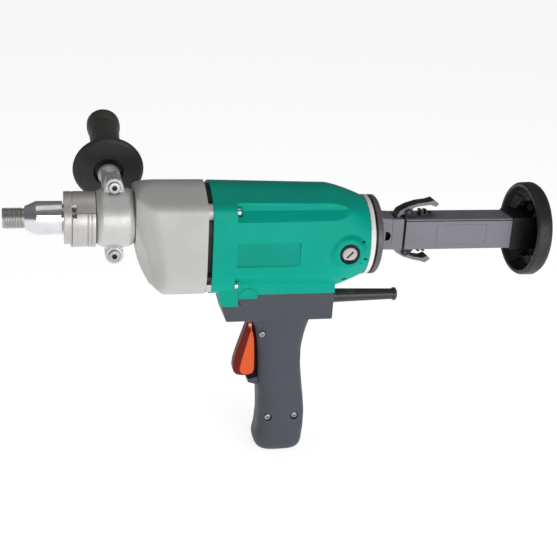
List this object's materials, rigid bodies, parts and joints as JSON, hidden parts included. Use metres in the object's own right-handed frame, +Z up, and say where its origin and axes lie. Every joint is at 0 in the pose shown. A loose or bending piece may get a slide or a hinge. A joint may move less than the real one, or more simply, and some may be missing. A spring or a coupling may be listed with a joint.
{
  "type": "core drill rig",
  "caption": "Hand-held wet core drill with geared spindle, water swivel, barrel motor, pistol grip with trigger, swivelling side handle and a square tail carrying a round chest pad.",
  "frame": {"origin": "middle of the chest pad's rear face, on the axis of the square tail tube", "axes": "+X out of the rear of the chest pad, so the spindle points to -X; +Z up, away from the pistol grip; +Y to the side on which the side handle is stored"},
  "size_m": [0.5895, 0.2615, 0.3513],
  "materials": {
    "grey_paint": "satin silver-grey paint on cast aluminium",
    "green_plastic": "satin moulded green plastic",
    "grey_plastic": "fine-grained dark grey plastic",
    "black_plastic": "matt black plastic",
    "cap_plastic": "moulded grey plastic",
    "orange_plastic": "smooth orange plastic",
    "bright_steel": "turned and polished steel",
    "steel": "ground steel",
    "dark_steel": "blackened steel",
    "machined_aluminium": "turned aluminium",
    "cast_aluminium": "blasted cast aluminium",
    "tail_paint": "grey powder coat",
    "rubber": "moulded black rubber",
    "guard_rubber": "flexible black rubber",
    "copper": "enamelled copper windings on steel laminations",
    "brass": "machined brass",
    "carbon": "pressed carbon"
  },
  "bodies": {
    "housing": {"gear_housing": "grey_paint", "bearing_plate": "black_plastic", "spindle_bearing_front": "steel", "spindle_bearing_rear": "steel", "layshaft_bearing_front": "steel", "layshaft_bearing_rear": "steel", "water_swivel": "machined_aluminium", "lip_seal_front": "rubber", "lip_seal_rear": "rubber", "water_inlet": "brass", "motor_housing": "green_plastic", "stator": "copper", "motor_bearing_front": "steel", "motor_bearing_rear": "steel", "brush_holder_near": "brass", "brush_near": "carbon", "brush_cap_near": "cap_plastic", "brush_holder_far": "brass", "brush_far": "carbon", "brush_cap_far": "cap_plastic", "rear_cover": "cast_aluminium", "rear_plate": "tail_paint", "tail_neck": "tail_paint", "tail_tube": "tail_paint", "latch_pin_upper": "dark_steel", "latch_spring_upper": "dark_steel", "latch_pin_lower": "dark_steel", "latch_spring_lower": "dark_steel", "pad_socket": "black_plastic", "chest_pad": "rubber", "handle_near": "grey_plastic", "handle_far": "grey_plastic", "trigger_pin": "steel", "trigger_spring": "steel", "switch_block": "black_plastic", "cable_guard": "guard_rubber"},
    "spindle_unit": {"spindle": "bright_steel", "spindle_gear": "steel"},
    "layshaft_unit": {"layshaft": "steel", "layshaft_wheel": "steel", "layshaft_pinion": "steel"},
    "armature_unit": {"armature_shaft": "steel", "armature_core": "copper", "commutator": "copper", "fan": "black_plastic", "armature_pinion": "steel"},
    "side_handle": {"clamp_near": "cast_aluminium", "clamp_far": "cast_aluminium", "clamp_bolt_upper": "dark_steel", "clamp_bolt_lower": "dark_steel", "handle_stud": "steel", "guard_disc": "rubber", "side_grip": "rubber"},
    "trigger_lever": {"trigger": "orange_plastic"},
    "latch_upper": {"latch_lever_upper": "tail_paint"},
    "latch_lower": {"latch_lever_lower": "tail_paint"}
  },
  "joints": [
    {"name": "armature_spin", "type": "hinge", "parent": "housing", "child": "armature_unit", "pos_m": [-0.3015, 0, -0.004], "axis": [1, 0, 0], "continuous": true},
    {"name": "layshaft_spin", "type": "hinge", "parent": "housing", "child": "layshaft_unit", "pos_m": [-0.4165, 0.01844, -0.01175], "axis": [1, 0, 0], "continuous": true},
    {"name": "spindle_spin", "type": "hinge", "parent": "housing", "child": "spindle_unit", "pos_m": [-0.4815, 0, 0.018], "axis": [1, 0, 0], "continuous": true},
    {"name": "side_handle_swivel", "type": "hinge", "parent": "housing", "child": "side_handle", "pos_m": [-0.477, 0, 0.018], "axis": [1, 0, 0], "range_deg": [-180, 180]},
    {"name": "trigger_pull", "type": "hinge", "parent": "housing", "child": "trigger_lever", "pos_m": [-0.3285, 0, -0.105], "axis": [0, -1, 0], "range_deg": [0, 9], "stiffness_Nm_per_rad": 1.5, "springref_deg": -6.88, "deforming": ["trigger_spring"]},
    {"name": "latch_upper_press", "type": "hinge", "parent": "housing", "child": "latch_upper", "pos_m": [-0.157, 0, 0.0233], "axis": [0, 1, 0], "range_deg": [0, 12], "stiffness_Nm_per_rad": 0.4, "springref_deg": -11.46},
    {"name": "latch_lower_press", "type": "hinge", "parent": "housing", "child": "latch_lower", "pos_m": [-0.157, 0, -0.0233], "axis": [0, -1, 0], "range_deg": [0, 12], "stiffness_Nm_per_rad": 0.4, "springref_deg": -11.46}
  ],
  "couplings": [
    {"joint": "layshaft_spin", "follows": "armature_spin", "ratio": -0.33333},
    {"joint": "spindle_spin", "follows": "armature_spin", "ratio": 0.11111}
  ]
}
